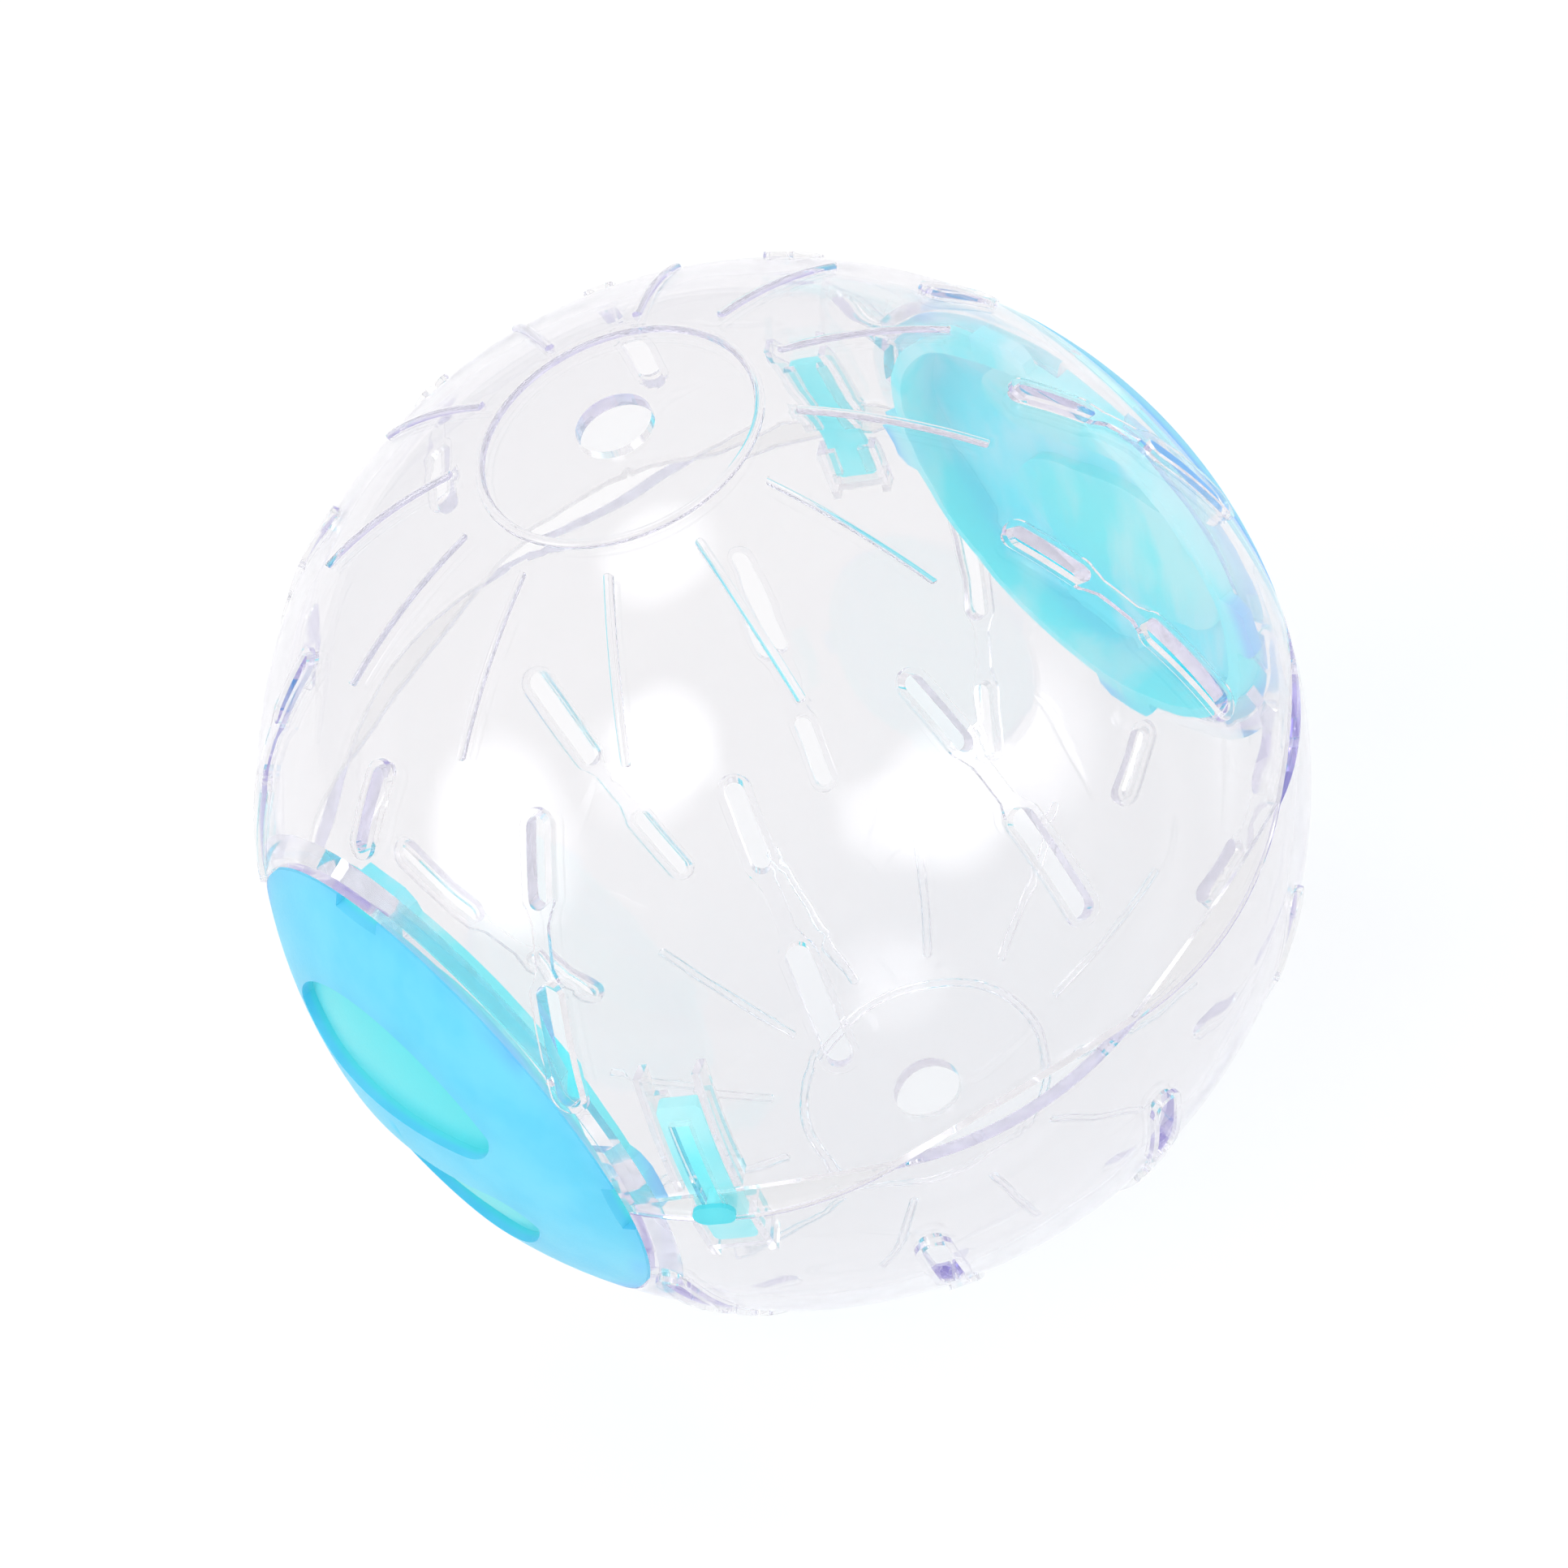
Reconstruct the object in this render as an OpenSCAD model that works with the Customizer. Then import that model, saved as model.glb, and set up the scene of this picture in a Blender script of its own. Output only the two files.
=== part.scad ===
// Hamster ball: two clear half shells held together by two sliding latches,
// with a twist-off lid at each end of the lid axis.
// The origin is the centre of the ball. Z runs through the pole bores, X through the lids.

/* [Ball] */
// Outside diameter of the ball
ball_d = 140; // [120:1:160]
// Wall thickness of the clear shells
wall_t = 2; // [1.7:0.1:2.5]
// Running gap between pieces that move past each other
clearance = 0.35; // [0.25:0.05:0.45]

/* [Seam] */
// Depth of one wave of the seam edge
wave_h = 2.4; // [1.8:0.1:2.8]
// Gap left between the two edges of the seam
seam_gap = 0.2; // [0.1:0.05:0.3]

/* [Poles] */
// Diameter of the bore through each pole
pole_bore_d = 10; // [6:0.5:14]
// Diameter of the raised ring round each pole
pole_ring_d = 36.7; // [30:0.5:40]
// Width of the raised ring and of the ribs
rib_w = 1.3; // [1:0.1:1.6]
// Number of ribs on each half
rib_count = 12; // [6:1:12]
// Angle from the pole to the inner end of a rib
rib_start_a = 19.4; // [18.6:0.2:22]
// Angle from the pole to the outer end of a rib
rib_end_a = 38.4; // [34:0.2:39]

/* [Vents] */
// Angle from the pole to the inner end of a vent rim
vent_start_a = 42.2; // [41:0.2:43.4]
// Angle from the pole to the outer end of a vent rim
vent_end_a = 75.4; // [74:0.2:75.6]
// Length of the rim round the short hole
short_rim_l = 13.2; // [12:0.1:14]
// Width of the rim round the short hole
short_rim_w = 4.3; // [3.8:0.1:4.8]
// Length of the rim round the long hole
long_rim_l = 19; // [17:0.1:20]
// Width of the rim round the long hole
long_rim_w = 5; // [4.4:0.1:5.4]
// Width of the raised waist between the two holes
waist_w = 2.2; // [1.6:0.1:2.8]
// Width of the rim itself round each hole
rim_edge_w = 0.9; // [0.6:0.1:1.1]
// Height that a rim stands above the ball
rim_h = 0.7; // [0.4:0.1:1]

/* [Lids] */
// Diameter of each lid
lid_d = 72; // [68:0.5:74]
// Thickness of the lid dome
lid_t = 2.2; // [1.8:0.1:2.6]
// Thickness of the lid at its rim
lid_rim_t = 1.8; // [1.5:0.1:2.2]
// Width of the ledge under the lid rim
ledge_w = 2.6; // [2.2:0.1:3]
// Thickness of the ledge
ledge_t = 2; // [1.6:0.1:2.4]
// Thickness of the skirt under the lid
skirt_t = 1.8; // [1.4:0.1:2.2]
// Width of one lug
lug_w = 10.5; // [9:0.1:12]
// Thickness of one lug
lug_t = 2; // [1.6:0.1:2.4]
// Reach of a lug past the skirt
lug_reach = 3.2; // [2.8:0.1:3.4]
// Corner cut off the outer end of a lug
lug_corner_l = 1.6; // [1:0.1:2]
// Twist that brings the lugs to their entries in the ledge
lid_twist_a = 25; // [23:1:28]
// Width of the window in the lid rim over each lug
window_w = 8.6; // [7:0.1:9.5]
// Depth of the window, in from the lid rim
window_l = 1.7; // [1.2:0.1:1.8]
// Radius of the outer edge of the two finger hollows
hollow_r = 22.5; // [20:0.5:24]
// Depth of a finger hollow
hollow_h = 1.8; // [1.2:0.1:2.2]
// Width of a finger hollow
hollow_w = 40.6; // [36:0.2:42]
// Corner radius of a finger hollow
hollow_corner_r = 6; // [3:0.5:7]
// Width of the grip ridge between the hollows
grip_w = 8; // [6:0.5:10]

/* [Latches] */
// Gap along the wall between the ledge of a lid opening and the rails of a latch
latch_gap = 2.477; // [1.4:0.001:4]
// Width of the slider
latch_w = 5.8; // [5:0.1:6.6]
// Thickness of the slider
latch_t = 1.6; // [1.3:0.1:1.8]
// Length of the slider above the seam
latch_up_l = 16.6; // [15:0.1:18]
// Length of the slider below the seam
latch_down_l = 8.3; // [7:0.1:9]
// Corner radius of the slider
latch_corner_r = 1; // [0.6:0.1:1.6]
// Slide that clears the lower half, as an angle about the ball centre
latch_slide_a = 11; // [10:0.5:12]
// Width of the thumb button
button_w = 5.6; // [4.5:0.1:6]
// Length of the thumb button along the slide
button_l = 3.4; // [2.8:0.1:4]
// Thickness of the thumb button
button_t = 0.8; // [0.6:0.1:1.1]
// Width of the neck that carries the thumb button
neck_w = 2; // [1.6:0.1:2.4]
// Length of the neck along the slide
neck_l = 3; // [2.4:0.1:3.2]
// Wall of the rails beside the slider
rail_t = 1.1; // [0.8:0.1:1.3]
// Length of the rails on the upper half
rail_up_l = 21.5; // [20:0.1:22.5]
// Length of the rails on the lower half
rail_down_l = 11.5; // [10.5:0.1:12.5]
// Thickness of the lips under the slider
lip_t = 1; // [0.8:0.1:1.2]
// Reach of the lips under the slider
lip_w = 1.5; // [1:0.1:1.8]
// Length by which the lips stop short of the rails
lip_back_l = 4.2; // [3:0.1:4.5]

/* [Hidden] */
$fn = 96;
OVER = wall_t / 2;
outer_r = ball_d / 2;
inner_r = outer_r - wall_t;

WAVE_ANGLE = 30;
OVERLAP_ANGLES = [45, 105, 225, 285];
GAP_ANGLES = [75, 135, 255, 315];
wave_half_l = outer_r * sin(WAVE_ANGLE / 2);
wave_r = (wave_half_l * wave_half_l + wave_h * wave_h) / (2 * wave_h);
tongue_in_r = (outer_r + inner_r - clearance) / 2;
tongue_out_r = (outer_r + inner_r + clearance) / 2;

RIB_PRISM_SHARE = 1.05;
rib_prism_w = RIB_PRISM_SHARE * rib_w;

VENT_COUNT = 12;
vent_mid_a = (vent_start_a + vent_end_a) / 2;
short_y = outer_r * sin(vent_mid_a - vent_start_a) - short_rim_l / 2;
long_y = long_rim_l / 2 - outer_r * sin(vent_end_a - vent_mid_a);

LUG_COUNT = 4;
lid_r = lid_d / 2;
open_r = lid_r - ledge_w;
pocket_r = lid_r + clearance;
ledge_top_x = sqrt(outer_r * outer_r - lid_r * lid_r) - lid_rim_t - clearance;
ledge_base_x = ledge_top_x - ledge_t;
ledge_root_r = sqrt(inner_r * inner_r - ledge_base_x * ledge_base_x) + wall_t / 4;
rim_base_x = ledge_top_x + clearance;
skirt_r = open_r - clearance;
lug_r = skirt_r + lug_reach;
lug_top_x = ledge_base_x - clearance;
lug_base_x = lug_top_x - lug_t;
lid_in_r = outer_r - lid_t;
skirt_top_x = sqrt(lid_in_r * lid_in_r - skirt_r * skirt_r) + lid_t / 4;
hollow_floor_r = outer_r - hollow_h;
hollow_in_r = hollow_floor_r - lid_t;

slider_out_r = inner_r - clearance;
slider_in_r = slider_out_r - latch_t;
slider_l = latch_up_l + latch_down_l;
slider_mid_a = arc_a((latch_up_l - latch_down_l) / 2, slider_out_r);
lip_out_r = slider_in_r - clearance;
lip_in_r = lip_out_r - lip_t;
rail_in_y = latch_w / 2 + clearance;
rail_root_r = inner_r + wall_t / 4;
rail_start_l = wave_h + 2 * seam_gap;
slot_w = neck_w + 2 * clearance;
slot_end_l = neck_l / 2 + clearance;
slide_l = outer_r * latch_slide_a * PI / 180;
latch_a = asin(ledge_root_r / inner_r) + arc_a(rail_in_y + rail_t + latch_gap, inner_r);

CLEAR = [0.9, 0.92, 0.96, 0.4];
BLUE = [0.4, 0.8, 1];
LATCH_BLUE = [0.36, 0.82, 0.92];

// Angle about the ball centre that a length spans at a radius
function arc_a(l, r) = l / r * 180 / PI;

// Outline with round ends, long along its second axis
module stadium(w, l) {
    translate([0, (l - w) / 2]) circle(d = w);
    translate([0, (w - l) / 2]) circle(d = w);
    square([w, l - w], center = true);
}

// Outline with round corners
module rounded(w, l, r) {
    square([w - 2 * r, l], center = true);
    square([w, l - 2 * r], center = true);
    for (x = [-1, 1], y = [-1, 1])
        translate([x * (w / 2 - r), y * (l / 2 - r)]) circle(r = r);
}

// Space between two radii about the ball centre
module layer(r_in, r_out) {
    difference() {
        sphere(r = r_out);
        sphere(r = r_in);
    }
}

// Extrudes an outline out through the wall along X, with its second axis along Z
module outward() {
    rotate([90, 0, 90])
        translate([0, 0, outer_r / 2])
            linear_extrude(height = outer_r / 2 + OVER) children();
}

// Sweeps an outline about the ball centre, from one height angle to another
module swept(from_a, to_a) {
    rotate([90, 0, 0])
        rotate([0, 0, from_a])
            rotate_extrude(angle = to_a - from_a) children();
}

// Disc about the X axis between two places on it
module disc_x(r, from_x, to_x) {
    translate([from_x, 0, 0])
        rotate([0, 90, 0])
            cylinder(r = r, h = to_x - from_x);
}

// Both ends of the lid axis
module at_lids() {
    children();
    rotate([0, 0, 180]) children();
}

// Both latches
module at_latches() {
    rotate([0, 0, latch_a]) children();
    rotate([0, 0, latch_a + 180]) children();
}

// Lens between two waves of the seam, grown by a gap
module lenses(angles, grow) {
    for (a = angles)
        rotate([0, 0, a]) outward() intersection() {
            translate([0, wave_r - wave_h]) circle(r = wave_r + grow);
            translate([0, wave_h - wave_r]) circle(r = wave_r + grow);
        }
}

// Block that holds all that lies above (1) or below (-1) the seam
module beyond_seam(side) {
    size = 2 * outer_r + 2 * OVER;
    translate([0, 0, side * (size - seam_gap) / 2]) cube(size, center = true);
}

// Outline of a vent rim: a short loop and, joined by a waist, a long one
module vent_rim(whole) {
    translate([0, short_y]) stadium(short_rim_w, short_rim_l);
    if (whole) {
        waist_top_y = short_y - short_rim_l / 2;
        waist_end_y = long_y + long_rim_l / 2;
        translate([0, long_y]) stadium(long_rim_w, long_rim_l);
        polygon([
            [-short_rim_w / 2, waist_top_y + short_rim_w / 2],
            [-waist_w / 2, waist_top_y - waist_w / 2],
            [-waist_w / 2, waist_end_y + waist_w / 2],
            [-long_rim_w / 2, waist_end_y - long_rim_w / 2],
            [long_rim_w / 2, waist_end_y - long_rim_w / 2],
            [waist_w / 2, waist_end_y + waist_w / 2],
            [waist_w / 2, waist_top_y - waist_w / 2],
            [short_rim_w / 2, waist_top_y + short_rim_w / 2]
        ]);
    }
}

// Outline of the holes in a vent
module vent_holes(whole) {
    edge = 2 * rim_edge_w;
    translate([0, short_y]) stadium(short_rim_w - edge, short_rim_l - edge);
    if (whole)
        translate([0, long_y]) stadium(long_rim_w - edge, long_rim_l - edge);
}

// Vents of the upper half; the two over the lids have the short loop alone
module vents(holes) {
    for (i = [0 : VENT_COUNT - 1]) {
        whole = i % (VENT_COUNT / 2) != 0;
        rotate([0, 0, i * 360 / VENT_COUNT])
            rotate([0, vent_mid_a - 90, 0])
                outward() if (holes) vent_holes(whole); else vent_rim(whole);
    }
}

// Raised ring round the pole of the upper half
module pole_ring() {
    ring_r = pole_ring_d / 2;
    translate([0, 0, sqrt(outer_r * outer_r - ring_r * ring_r)])
        rotate_extrude() translate([ring_r, 0]) circle(d = rib_w);
}

// Ribs that fan out from the ring, each a rod laid along the ball with rounded ends
module ribs() {
    mid_a = 90 - (rib_start_a + rib_end_a) / 2;
    rib_l = 2 * outer_r * sin((rib_end_a - rib_start_a) / 2) + rib_w;
    end_a = arc_a(rib_w, outer_r);
    for (i = [0 : rib_count - 1])
        rotate([0, 0, (i + 0.5) * 360 / rib_count])
            intersection() {
                swept(90 - rib_end_a - end_a, 90 - rib_start_a + end_a)
                    translate([outer_r, 0]) circle(d = rib_w);
                rotate([0, -mid_a, 0]) outward() stadium(rib_prism_w, rib_l);
            }
}

// Entries in a ledge through which the lugs pass
module lug_entries() {
    intersection() {
        disc_x(lug_r + clearance, ledge_base_x - OVER, ledge_top_x + clearance / 2);
        for (i = [0 : LUG_COUNT - 1])
            rotate([i * 360 / LUG_COUNT + lid_twist_a, 0, 0])
                translate([0, 0, -lug_w / 2 - clearance])
                    cube([outer_r + OVER, lug_r + OVER, lug_w + 2 * clearance]);
    }
}

// Section of the wall, with the lid openings, pockets and ledges; the second axis is the lid axis
module wall_section() {
    difference() {
        circle(r = outer_r);
        circle(r = inner_r);
        translate([-2 * outer_r, -outer_r]) square(2 * outer_r);
        translate([0, ledge_top_x]) square([pocket_r, outer_r]);
        translate([0, -ledge_top_x - outer_r]) square([pocket_r, outer_r]);
        translate([0, inner_r / 2]) square([open_r, outer_r]);
        translate([0, -inner_r / 2 - outer_r]) square([open_r, outer_r]);
    }
    for (base = [ledge_base_x, -ledge_top_x])
        translate([open_r, base]) square([ledge_root_r - open_r, ledge_t]);
}

// Wall of the whole ball
module ball_wall() {
    difference() {
        rotate([0, 90, 0]) rotate_extrude() wall_section();
        at_lids() lug_entries();
    }
}

// Rails that guide a slider, with lips under its edges, along one stretch
module rails(from_l, to_l, lip_to_l) {
    start_a = arc_a(from_l, inner_r);
    for (side = [0, 1]) mirror([0, side, 0]) {
        swept(start_a, arc_a(to_l, inner_r))
            translate([lip_in_r, rail_in_y]) square([rail_root_r - lip_in_r, rail_t]);
        swept(start_a, arc_a(lip_to_l, inner_r))
            translate([lip_in_r, rail_in_y - lip_w]) square([lip_t, lip_w + rail_t / 2]);
    }
}

// Stop across the rails of the lower half
module latch_stop() {
    from_a = arc_a(latch_down_l + clearance, slider_in_r);
    swept(from_a, from_a + arc_a(rail_t, slider_in_r))
        translate([lip_in_r, -rail_in_y - rail_t / 2])
            square([rail_root_r - lip_in_r, 2 * rail_in_y + rail_t]);
}

// Slot in which the neck of a thumb button runs
module button_slot(from_l, to_l) {
    swept(arc_a(from_l, outer_r), arc_a(to_l, outer_r))
        translate([slider_in_r, -slot_w / 2])
            square([outer_r + OVER - slider_in_r, slot_w]);
}

// Outer tongues of the upper half, which reach below the seam
module outer_tongues() {
    difference() {
        intersection() {
            lenses(OVERLAP_ANGLES, 0);
            layer(tongue_out_r, outer_r);
        }
        translate([0, 0, outer_r + wave_h / 3])
            cube(2 * outer_r, center = true);
        at_lids() disc_x(pocket_r, outer_r / 2, outer_r + OVER);
    }
}

// Wall of the upper half: its inner side is cut back for the lower half's tongues
module upper_wall() {
    difference() {
        ball_wall();
        beyond_seam(-1);
        intersection() {
            sphere(r = tongue_out_r);
            lenses(OVERLAP_ANGLES, seam_gap);
        }
        lenses(GAP_ANGLES, 0);
    }
    outer_tongues();
}

// Wall of the lower half, with inner tongues that reach above the seam
module lower_wall() {
    difference() {
        ball_wall();
        difference() {
            beyond_seam(1);
            lenses(OVERLAP_ANGLES, 0);
        }
        difference() {
            union() {
                beyond_seam(1);
                lenses(OVERLAP_ANGLES, seam_gap);
            }
            sphere(r = tongue_in_r);
        }
        lenses(GAP_ANGLES, 0);
    }
}

// What stands out of the wall of a half that has its pole on top
module relief() {
    intersection() {
        vents(false);
        layer(outer_r - OVER, outer_r + rim_h);
    }
    pole_ring();
    ribs();
}

// What goes through the wall of a half that has its pole on top
module holes() {
    vents(true);
    cylinder(d = pole_bore_d, h = outer_r + OVER);
}

module upper_shell() color(CLEAR) {
    difference() {
        union() {
            upper_wall();
            relief();
            at_latches() rails(rail_start_l, rail_up_l, rail_up_l - lip_back_l);
        }
        holes();
        at_latches() button_slot(-wave_h - OVER, slot_end_l + slide_l);
    }
}

module lower_shell() color(CLEAR) {
    difference() {
        union() {
            lower_wall();
            mirror([0, 0, 1]) {
                relief();
                at_latches() rails(rail_start_l, rail_down_l, rail_down_l - lip_back_l);
                at_latches() latch_stop();
            }
        }
        mirror([0, 0, 1]) holes();
        at_latches() button_slot(-slot_end_l, wave_h + OVER);
    }
}

// Outline of one finger hollow: a half moon with round corners, grown by an edge
module half_moon(grow) {
    top_y = hollow_r + hollow_corner_r;
    tall = top_y - grip_w / 2 + grow;
    intersection() {
        circle(r = hollow_r + grow);
        translate([0, top_y - tall / 2])
            rounded(hollow_w + 2 * grow, tall, hollow_corner_r + grow);
    }
}

// Both finger hollows of a lid
module hollows(grow) {
    for (turn = [0, 180])
        rotate([turn, 0, 0]) outward() half_moon(grow);
}

module lug() {
    points = [
        [skirt_r - skirt_t / 2, -lug_w / 2],
        [lug_r - lug_corner_l, -lug_w / 2],
        [lug_r, lug_corner_l - lug_w / 2],
        [lug_r, lug_w / 2 - lug_corner_l],
        [lug_r - lug_corner_l, lug_w / 2],
        [skirt_r - skirt_t / 2, lug_w / 2]
    ];
    translate([lug_base_x, 0, 0])
        rotate([90, 0, 90])
            linear_extrude(height = lug_t) polygon(points);
}

// Dome, rim and skirt of a lid, turned about the X axis
module lid_body() {
    rotate([0, 90, 0]) rotate_extrude() {
        intersection() {
            circle(r = outer_r);
            union() {
                difference() {
                    translate([0, rim_base_x]) square([lid_r, outer_r]);
                    circle(r = lid_in_r);
                }
                translate([skirt_r - skirt_t, rim_base_x])
                    square([lid_r - skirt_r + skirt_t, lid_rim_t]);
            }
        }
        translate([skirt_r - skirt_t, lug_base_x])
            square([skirt_t, skirt_top_x - lug_base_x]);
    }
}

module lid() color(BLUE) {
    difference() {
        union() {
            lid_body();
            intersection() {
                hollows(lid_t / 2);
                layer(hollow_in_r, outer_r - hollow_h / 2);
            }
            for (i = [0 : LUG_COUNT - 1])
                rotate([i * 360 / LUG_COUNT, 0, 0]) lug();
        }
        intersection() {
            hollows(0);
            layer(hollow_floor_r, outer_r + OVER);
        }
        for (i = [0 : LUG_COUNT - 1])
            rotate([i * 360 / LUG_COUNT, 0, 0])
                translate([rim_base_x - clearance / 2, lid_r - window_l, -window_w / 2])
                    cube([outer_r, window_l + OVER, window_w]);
    }
}

module front_lid() lid();

module rear_lid() rotate([0, 0, 180]) lid();

module latch() color(LATCH_BLUE) {
    intersection() {
        rotate([0, -slider_mid_a, 0])
            outward() rounded(latch_w, slider_l, latch_corner_r);
        layer(slider_in_r, slider_out_r);
    }
    intersection() {
        outward() stadium(neck_w, neck_l);
        layer(slider_out_r - latch_t / 2, outer_r + clearance + button_t / 2);
    }
    intersection() {
        outward() rotate(90) stadium(button_l, button_w);
        layer(outer_r + clearance, outer_r + clearance + button_t);
    }
}

module front_latch() rotate([0, 0, latch_a]) latch();

module rear_latch() rotate([0, 0, latch_a + 180]) latch();

upper_shell();
lower_shell();
front_lid();
rear_lid();
front_latch();
rear_latch();
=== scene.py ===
"""Looks of the hamster ball: clear shells, translucent blue lids and latches, on a white floor.

Lengths are metres in the frame of the part: the centre of the ball is the origin,
Z runs through the pole bores and X through the lids. Colours are linear red, green and blue.
"""

import math
from typing import NamedTuple

import bpy

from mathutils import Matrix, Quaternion, Vector


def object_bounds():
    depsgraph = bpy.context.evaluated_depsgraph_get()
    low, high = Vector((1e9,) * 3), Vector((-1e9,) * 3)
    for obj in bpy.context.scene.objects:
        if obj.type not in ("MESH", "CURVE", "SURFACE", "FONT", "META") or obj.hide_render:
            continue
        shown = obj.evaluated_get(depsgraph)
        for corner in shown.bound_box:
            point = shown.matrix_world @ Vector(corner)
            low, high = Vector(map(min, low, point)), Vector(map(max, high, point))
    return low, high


MM = 0.001


class Pattern(NamedTuple):
    """Noise pattern, with the smooth ramp that turns its values into a share or a roughness."""

    scale: float
    detail: float
    start: float = 0.0
    end: float = 1.0
    low: float = 0.0
    high: float = 1.0


class Softbox(NamedTuple):
    """Soft lamp of the room: a direction as the camera sees it, a half width in degrees, a strength."""

    right: float
    up: float
    back: float
    half_width: float
    strength: float


# Ball and lids, as in the part's source
BALL_R = 70 * MM
LID_R = 36 * MM
LID_T = 2.2 * MM
HOLLOW_H = 1.8 * MM
LID_IN_R = BALL_R - LID_T
HOLLOW_FLOOR_R = BALL_R - HOLLOW_H

# Camera, set to the photograph's view: degrees, metres, and the focal length in millimetres
CAMERA_AZIMUTH = 66.81
CAMERA_ELEVATION = 44.80
CAMERA_ROLL = -25.28
CAMERA_DISTANCE = 0.70
CAMERA_CLIP_START = 0.01
FOCAL_LENGTH = 120.51

# Both plastics
PLASTIC_IOR = 1.5

# Clear plastic: its tint, the share of light that its faces let through, and the colour of its depth
CLEAR_COLOR = (0.936, 0.930, 0.922)
CLEAR_SHARE = 0.97
DEPTH_COLOR = (0.74, 0.70, 0.92)
DEPTH_DENSITY = 28.0
HAZE = Pattern(scale=400.0, detail=4.0, start=0.4, end=0.8, low=0.01, high=0.05)
WAVES = Pattern(scale=60.0, detail=1.0)
WAVE_STRENGTH = 0.15
WAVE_H = 1 * MM

# Light that goes straight through a clear face: its tint, and the turns after which any light does
STRAIGHT_COLOR = (0.985, 0.985, 0.988)
LEAK_TURNS = 5.5

# Blue plastic of the lids and latches
BLUE_CLEAR_SHARE = 0.25
TRANSLUCENT_SHARE = 0.35
SHEEN = 0.25
SHEEN_ROUGHNESS = 0.4
MOTTLE = Pattern(scale=90.0, detail=3.0, start=0.3, end=0.7)
GRAIN = Pattern(scale=2500.0, detail=3.0, start=0.2, end=0.8, low=0.3, high=0.42)
GRAIN_STRENGTH = 0.1
GRAIN_H = 0.2 * MM

# Distances over which one blue turns into another
COLOR_STEP = 0.2 * MM
HOLLOW_BLEND = 1.0 * MM
EDGE_W = 3 * MM

# Colours of the lids, and the patterns on their inner side and along their edge; the inner side's paler
# cyan is painted glow of light shining through the lid
LID_BLUE = (0.16, 0.71, 0.93)
LID_PALE = (0.24, 0.77, 0.96)
LID_TURQUOISE = (0.16, 0.82, 0.85)
# Painted glow: the inner side is paler cyan than the outer side, standing in for light shining through
# the lid
LID_INNER_PAINTED_GLOW = (0.22, 0.98, 1.0)
LID_FROST = (0.65, 1.0, 1.0)
LID_EDGE = (0.20, 0.54, 1.0)
FROST = Pattern(scale=70.0, detail=6.0, start=0.45, end=0.62)
FROST_STRETCH = (1, 1, 0.35)
EDGE_PATCHES = Pattern(scale=45.0, detail=2.0, start=0.45, end=0.6, low=0.1, high=0.8)
ACROSS_LID_AXIS = (0, 1, 1)

# Colours of the latches
LATCH_BLUE = (0.29, 0.94, 0.97)
LATCH_PALE = (0.58, 1.0, 1.0)
BUTTON_BLUE = (0.16, 0.82, 0.88)

# Floor: a pale board that partly glows where it is seen
WHITE = (1, 1, 1)
BOARD_COLOR = (0.9, 0.9, 0.9)
BOARD_GLOW_SHARE = 0.6
FLOOR_R = 2.0
FLOOR_SIDES = 128

# Room: its colours below and above, and the heights on the unit sphere between which they blend
ROOM_LOW = (0.86, 0.87, 0.90)
ROOM_HIGH = (0.95, 0.95, 0.97)
ROOM_BLEND_START = -0.2
ROOM_BLEND_END = 0.7
SOFTBOXES = [
    Softbox(right=-0.884, up=-0.174, back=0.434, half_width=13, strength=3.5),
    Softbox(right=-0.426, up=0.148, back=0.893, half_width=8.5, strength=3.0),
    Softbox(right=0.574, up=-0.059, back=0.817, half_width=10.5, strength=3.0),
    Softbox(right=-0.410, up=0.740, back=0.532, half_width=8.5, strength=2.3),
]
# A softbox is brightest at its middle and has faded out at this many half widths
SOFTBOX_FADE = 1.7

# Light finds its way out of the ribs and rims only after many turns
BOUNCES = {
    "max_bounces": 20,
    "glossy_bounces": 16,
    "transmission_bounces": 20,
    "transparent_max_bounces": 32,
}

# Sockets of a Mix node that count when it mixes colours
MIX_FACTOR = 0
MIX_A = 6
MIX_B = 7
MIX_RESULT = 2


# Node trees


def fill(tree, target, value):
    """Joins a node's output to a socket, or writes a plain value there."""
    if isinstance(value, bpy.types.NodeSocket):
        tree.links.new(value, target)
    elif target.type == "RGBA":
        target.default_value = (*value, 1)
    else:
        target.default_value = value


def add(tree, kind, inputs, **props):
    """New node with its properties and inputs set."""
    node = tree.nodes.new(kind)
    for name, value in props.items():
        setattr(node, name, value)
    for name, value in inputs.items():
        fill(tree, node.inputs[name], value)
    return node


def math_node(tree, operation, a, b):
    return add(tree, "ShaderNodeMath", {0: a, 1: b}, operation=operation).outputs[0]


def vector_math(tree, operation, a, b):
    return add(tree, "ShaderNodeVectorMath", {0: a, 1: b}, operation=operation)


def length(tree, vector):
    return add(tree, "ShaderNodeVectorMath", {0: vector}, operation="LENGTH").outputs["Value"]


def smooth(tree, value, from_min, from_max, to_min=0.0, to_max=1.0):
    """Smooth ramp between two values."""
    node = add(
        tree,
        "ShaderNodeMapRange",
        {
            "Value": value,
            "From Min": from_min,
            "From Max": from_max,
            "To Min": to_min,
            "To Max": to_max,
        },
        interpolation_type="SMOOTHSTEP",
    )
    return node.outputs["Result"]


def noise(tree, point, pattern):
    """Raw noise of a pattern."""
    inputs = {"Vector": point, "Scale": pattern.scale, "Detail": pattern.detail}
    return add(tree, "ShaderNodeTexNoise", inputs).outputs["Fac"]


def ramp(tree, value, pattern):
    """A value put on a pattern's ramp."""
    return smooth(tree, value, pattern.start, pattern.end, pattern.low, pattern.high)


def blotches(tree, point, pattern):
    """Noise of a pattern, put on the pattern's ramp."""
    return ramp(tree, noise(tree, point, pattern), pattern)


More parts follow.
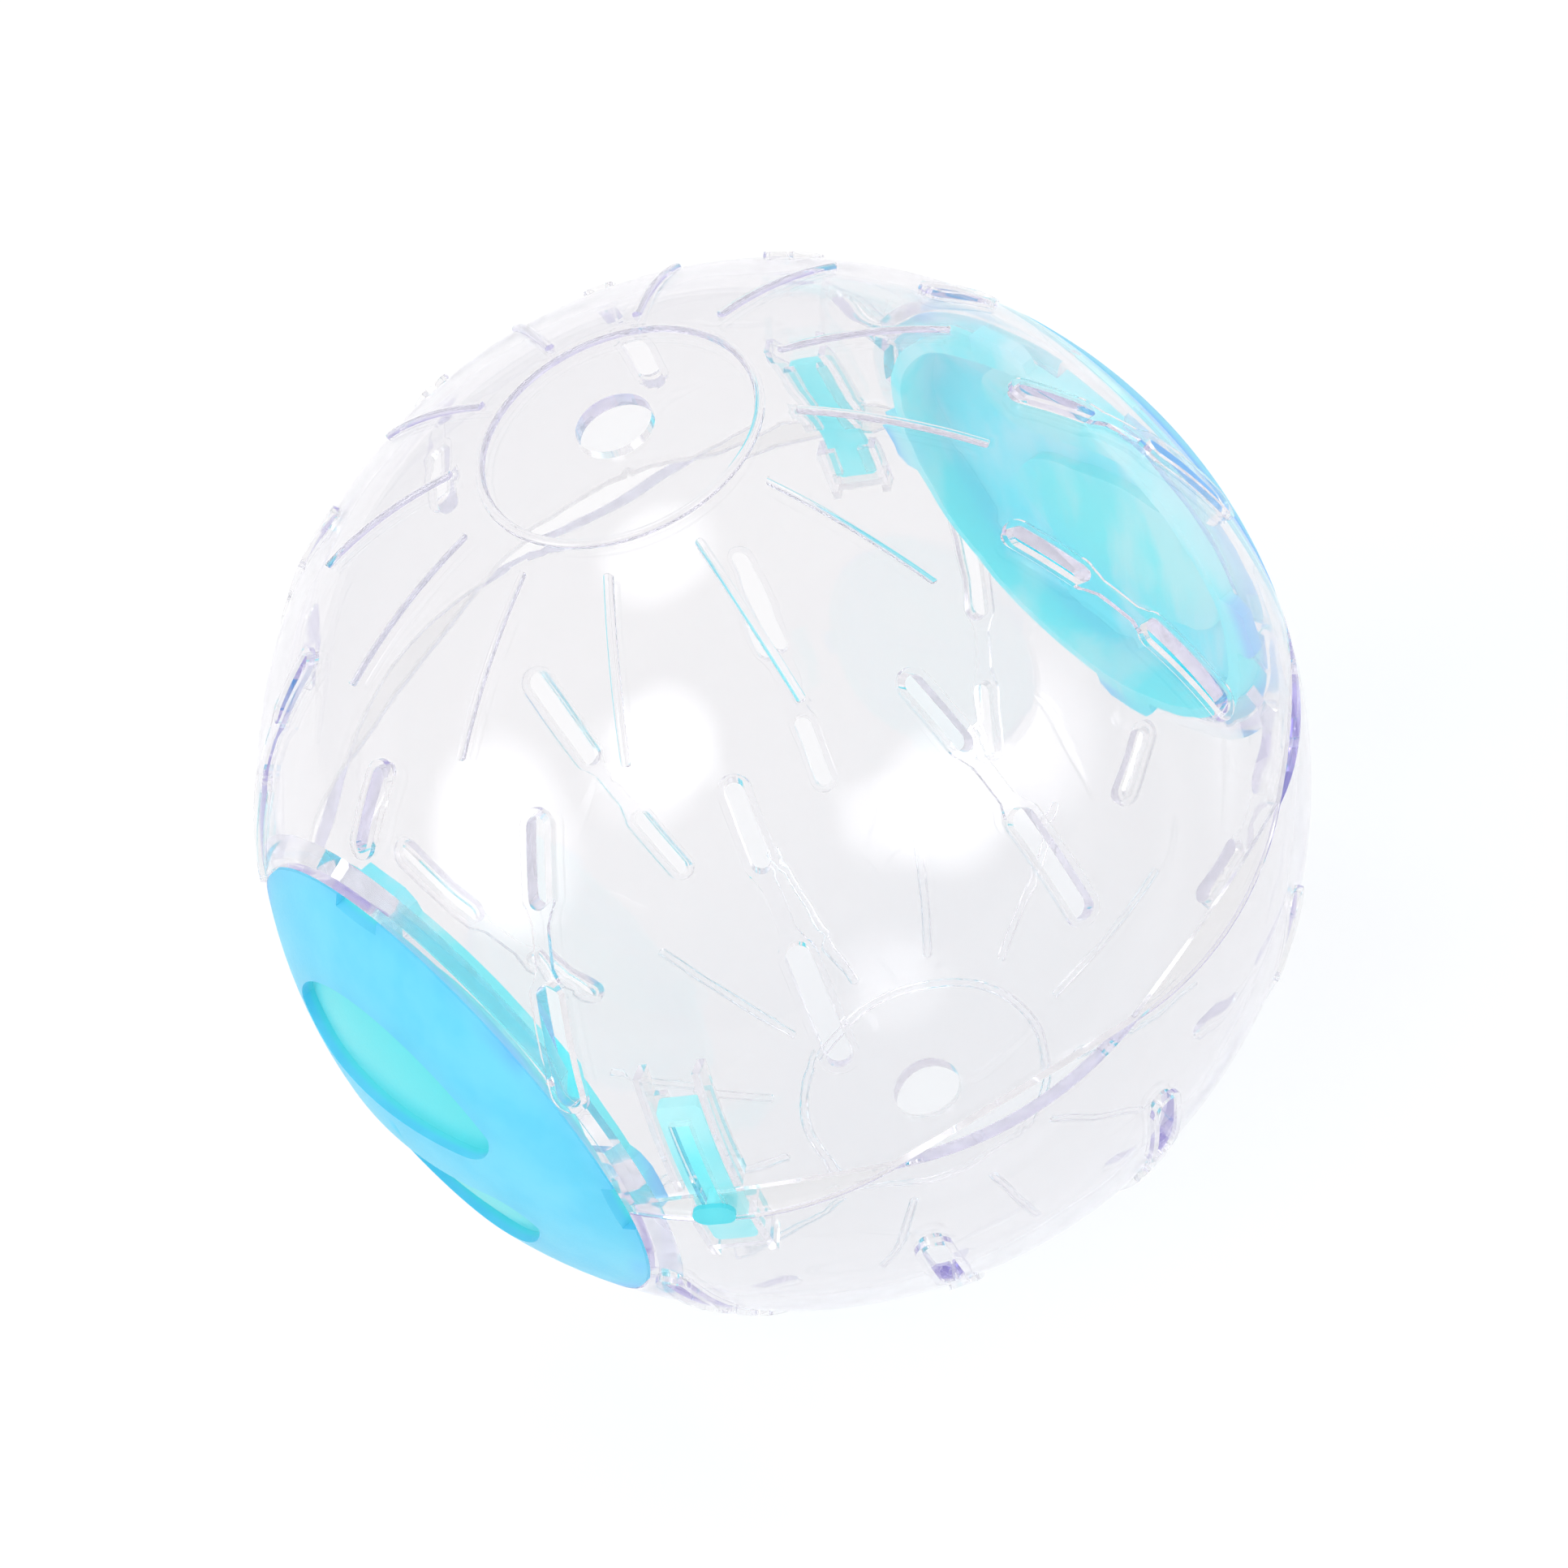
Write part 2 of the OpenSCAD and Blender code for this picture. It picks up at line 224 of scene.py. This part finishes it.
def relief(tree, height, strength, distance):
    """Normal of a surface with a fine relief."""
    inputs = {"Height": height, "Strength": strength, "Distance": distance}
    return add(tree, "ShaderNodeBump", inputs).outputs["Normal"]


def mix_color(tree, factor, a, b):
    inputs = {MIX_FACTOR: factor, MIX_A: a, MIX_B: b}
    return add(tree, "ShaderNodeMix", inputs, data_type="RGBA").outputs[MIX_RESULT]


def mix_shaders(tree, factor, a, b):
    inputs = {0: factor, 1: a.outputs[0], 2: b.outputs[0]}
    return add(tree, "ShaderNodeMixShader", inputs).outputs[0]


def light_path(tree):
    """Outputs that tell what kind of ray meets a surface."""
    return tree.nodes.new("ShaderNodeLightPath").outputs


def new_tree(owner, output_kind):
    """Empties the node tree of a material or world, and gives it an output node."""
    owner.use_nodes = True
    tree = owner.node_tree
    tree.nodes.clear()
    return tree, tree.nodes.new(output_kind)


def new_material(name):
    """Empty material, with its tree and its output node."""
    material = bpy.data.materials.new(name)
    tree, output = new_tree(material, "ShaderNodeOutputMaterial")
    return material, tree, output


def object_place(tree):
    """Place on a piece, in the piece's own frame."""
    return tree.nodes.new("ShaderNodeTexCoord").outputs["Object"]


# Materials


def clear_plastic():
    """Clear polystyrene: slightly wavy, with hazy patches, and lavender where it is deep."""
    material, tree, output = new_material("clear_polystyrene")
    place = object_place(tree)
    plastic = add(
        tree,
        "ShaderNodeBsdfPrincipled",
        {
            "Base Color": CLEAR_COLOR,
            "Roughness": blotches(tree, place, HAZE),
            "IOR": PLASTIC_IOR,
            "Transmission Weight": CLEAR_SHARE,
            "Normal": relief(tree, noise(tree, place, WAVES), WAVE_STRENGTH, WAVE_H),
        },
    )
    straight = add(tree, "ShaderNodeBsdfTransparent", {"Color": STRAIGHT_COLOR})
    path = light_path(tree)
    soft = math_node(tree, "MAXIMUM", path["Is Shadow Ray"], path["Is Diffuse Ray"])
    leaks = math_node(tree, "GREATER_THAN", path["Ray Depth"], LEAK_TURNS)
    goes_straight = math_node(tree, "MAXIMUM", soft, leaks)
    surface = mix_shaders(tree, goes_straight, plastic, straight)
    depth = add(
        tree, "ShaderNodeVolumeAbsorption", {"Color": DEPTH_COLOR, "Density": DEPTH_DENSITY}
    )
    tree.links.new(surface, output.inputs["Surface"])
    tree.links.new(depth.outputs[0], output.inputs["Volume"])
    return material


def lid_marks(tree, place, color):
    """Turquoise in the finger hollows, painted glow on the inner side (paler cyan, for light shining
    through the lid) with frost patches, deeper blue towards the rim.
    """
    radius = length(tree, place)
    hollow_start = HOLLOW_FLOOR_R + COLOR_STEP
    hollow = smooth(tree, radius, hollow_start, hollow_start + HOLLOW_BLEND, 1.0, 0.0)
    color = mix_color(tree, hollow, color, LID_TURQUOISE)

    stretched = add(tree, "ShaderNodeMapping", {"Vector": place, "Scale": FROST_STRETCH})
    frost = blotches(tree, stretched.outputs[0], FROST)
    # Painted glow of light through the lid: paler cyan on the inner side, mixed with frost patches
    painted_glow_and_frost_color = mix_color(tree, frost, LID_INNER_PAINTED_GLOW, LID_FROST)
    painted_glow_side = smooth(tree, radius, LID_IN_R, LID_IN_R + COLOR_STEP, 1.0, 0.0)
    color = mix_color(tree, painted_glow_side, color, painted_glow_and_frost_color)

    across = vector_math(tree, "MULTIPLY", place, ACROSS_LID_AXIS).outputs["Vector"]
    edge = smooth(tree, length(tree, across), LID_R - EDGE_W, LID_R)
    patchy_edge = math_node(tree, "MULTIPLY", edge, blotches(tree, place, EDGE_PATCHES))
    return mix_color(tree, patchy_edge, color, LID_EDGE)


def latch_marks(tree, place, color):
    """Deeper blue on the thumb button, which stands out of the wall."""
    button = smooth(tree, length(tree, place), BALL_R, BALL_R + COLOR_STEP)
    return mix_color(tree, button, color, BUTTON_BLUE)


def blue_plastic(name, deep, pale, marks):
    """Translucent satin plastic with soft mottling, a fine grain, and the marks of its piece."""
    material, tree, output = new_material(name)
    place = object_place(tree)
    mottled = mix_color(tree, blotches(tree, place, MOTTLE), deep, pale)
    color = marks(tree, place, mottled)
    grain = noise(tree, place, GRAIN)
    plastic = add(
        tree,
        "ShaderNodeBsdfPrincipled",
        {
            "Base Color": color,
            "Roughness": ramp(tree, grain, GRAIN),
            "IOR": PLASTIC_IOR,
            "Transmission Weight": BLUE_CLEAR_SHARE,
            "Sheen Weight": SHEEN,
            "Sheen Roughness": SHEEN_ROUGHNESS,
            "Normal": relief(tree, grain, GRAIN_STRENGTH, GRAIN_H),
        },
    )
    through = add(tree, "ShaderNodeBsdfTranslucent", {"Color": color})
    surface = mix_shaders(tree, TRANSLUCENT_SHARE, plastic, through)
    tree.links.new(surface, output.inputs["Surface"])
    return material


def white_floor():
    """White board that looks white, straight or by way of the ball, and still takes the shadow."""
    material, tree, output = new_material("white_floor")
    board = add(tree, "ShaderNodeBsdfDiffuse", {"Color": BOARD_COLOR})
    glow = add(tree, "ShaderNodeEmission", {"Color": WHITE, "Strength": 1.0})
    path = light_path(tree)
    by_ball = math_node(tree, "MAXIMUM", path["Is Transmission Ray"], path["Is Glossy Ray"])
    seen = math_node(tree, "MAXIMUM", path["Is Camera Ray"], by_ball)
    share = math_node(tree, "MULTIPLY", seen, BOARD_GLOW_SHARE)
    tree.links.new(mix_shaders(tree, share, board, glow), output.inputs["Surface"])
    return material


def dress(nodes):
    """Puts the finished materials on the pieces."""
    clear = clear_plastic()
    lid_blue = blue_plastic("blue_lid_plastic", LID_BLUE, LID_PALE, lid_marks)
    latch_blue = blue_plastic("blue_latch_plastic", LATCH_BLUE, LATCH_PALE, latch_marks)
    finishes = {
        "upper_shell": clear,
        "lower_shell": clear,
        "front_lid": lid_blue,
        "rear_lid": lid_blue,
        "front_latch": latch_blue,
        "rear_latch": latch_blue,
    }
    for name, finish in finishes.items():
        slots = nodes[name].data.materials
        slots.clear()
        slots.append(finish)


# Stage


def add_camera():
    """Camera that looks at the centre of the ball, as in the photograph."""
    azimuth = math.radians(CAMERA_AZIMUTH)
    elevation = math.radians(CAMERA_ELEVATION)
    back = Vector(
        (
            math.cos(azimuth) * math.cos(elevation),
            math.sin(azimuth) * math.cos(elevation),
            math.sin(elevation),
        )
    )
    camera = bpy.data.objects.new("camera", bpy.data.cameras.new("camera"))
    bpy.context.scene.collection.objects.link(camera)
    camera.data.lens = FOCAL_LENGTH
    camera.data.clip_start = CAMERA_CLIP_START
    camera.location = back * CAMERA_DISTANCE
    camera.rotation_mode = "QUATERNION"
    roll = Quaternion((0, 0, 1), math.radians(CAMERA_ROLL))
    camera.rotation_quaternion = (-back).to_track_quat("-Z", "Y") @ roll
    bpy.context.scene.camera = camera
    return camera


def with_softbox(tree, light, way, camera, box):
    """The room's light with one softbox added."""
    seen_way = Vector((box.right, box.up, box.back))
    middle = (camera.rotation_quaternion @ seen_way).normalized()
    facing = vector_math(tree, "DOT_PRODUCT", way, middle).outputs["Value"]
    faded = math.cos(math.radians(box.half_width * SOFTBOX_FADE))
    glow = smooth(tree, facing, faded, 1.0, 0.0, box.strength)
    lamp = add(tree, "ShaderNodeCombineColor", {0: glow, 1: glow, 2: glow})
    return vector_math(tree, "ADD", light, lamp.outputs[0]).outputs["Vector"]


def add_world(camera):
    """Pale room with softboxes, which the camera itself sees as plain white."""
    world = bpy.data.worlds.new("studio")
    bpy.context.scene.world = world
    tree, output = new_tree(world, "ShaderNodeOutputWorld")
    way = tree.nodes.new("ShaderNodeTexCoord").outputs["Generated"]
    height = add(tree, "ShaderNodeSeparateXYZ", {0: way}).outputs["Z"]
    rise = smooth(tree, height, ROOM_BLEND_START, ROOM_BLEND_END)
    light = mix_color(tree, rise, ROOM_LOW, ROOM_HIGH)
    for box in SOFTBOXES:
        light = with_softbox(tree, light, way, camera, box)
    room = add(tree, "ShaderNodeBackground", {"Color": light, "Strength": 1.0})
    plain = add(tree, "ShaderNodeBackground", {"Color": WHITE, "Strength": 1.0})
    surface = mix_shaders(tree, light_path(tree)["Is Camera Ray"], room, plain)
    tree.links.new(surface, output.inputs["Surface"])


def add_floor(height):
    """Round white floor under the ball."""
    bpy.ops.mesh.primitive_circle_add(
        vertices=FLOOR_SIDES, radius=FLOOR_R, fill_type="NGON", location=(0, 0, height)
    )
    floor = bpy.context.object
    floor.name = "floor"
    floor.data.materials.append(white_floor())


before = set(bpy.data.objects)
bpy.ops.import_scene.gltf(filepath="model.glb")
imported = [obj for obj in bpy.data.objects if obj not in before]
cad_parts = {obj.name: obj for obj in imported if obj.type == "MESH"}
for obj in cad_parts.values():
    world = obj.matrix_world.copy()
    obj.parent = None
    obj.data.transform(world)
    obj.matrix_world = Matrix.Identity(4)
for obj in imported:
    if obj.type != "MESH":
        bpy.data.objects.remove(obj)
cad_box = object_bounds()
floor_height = cad_box[0].z

for setting, count in BOUNCES.items():
    setattr(bpy.context.scene.cycles, setting, count)
bpy.context.scene.view_settings.view_transform = "Standard"

dress(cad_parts)
camera = add_camera()
add_world(camera)
add_floor(floor_height)
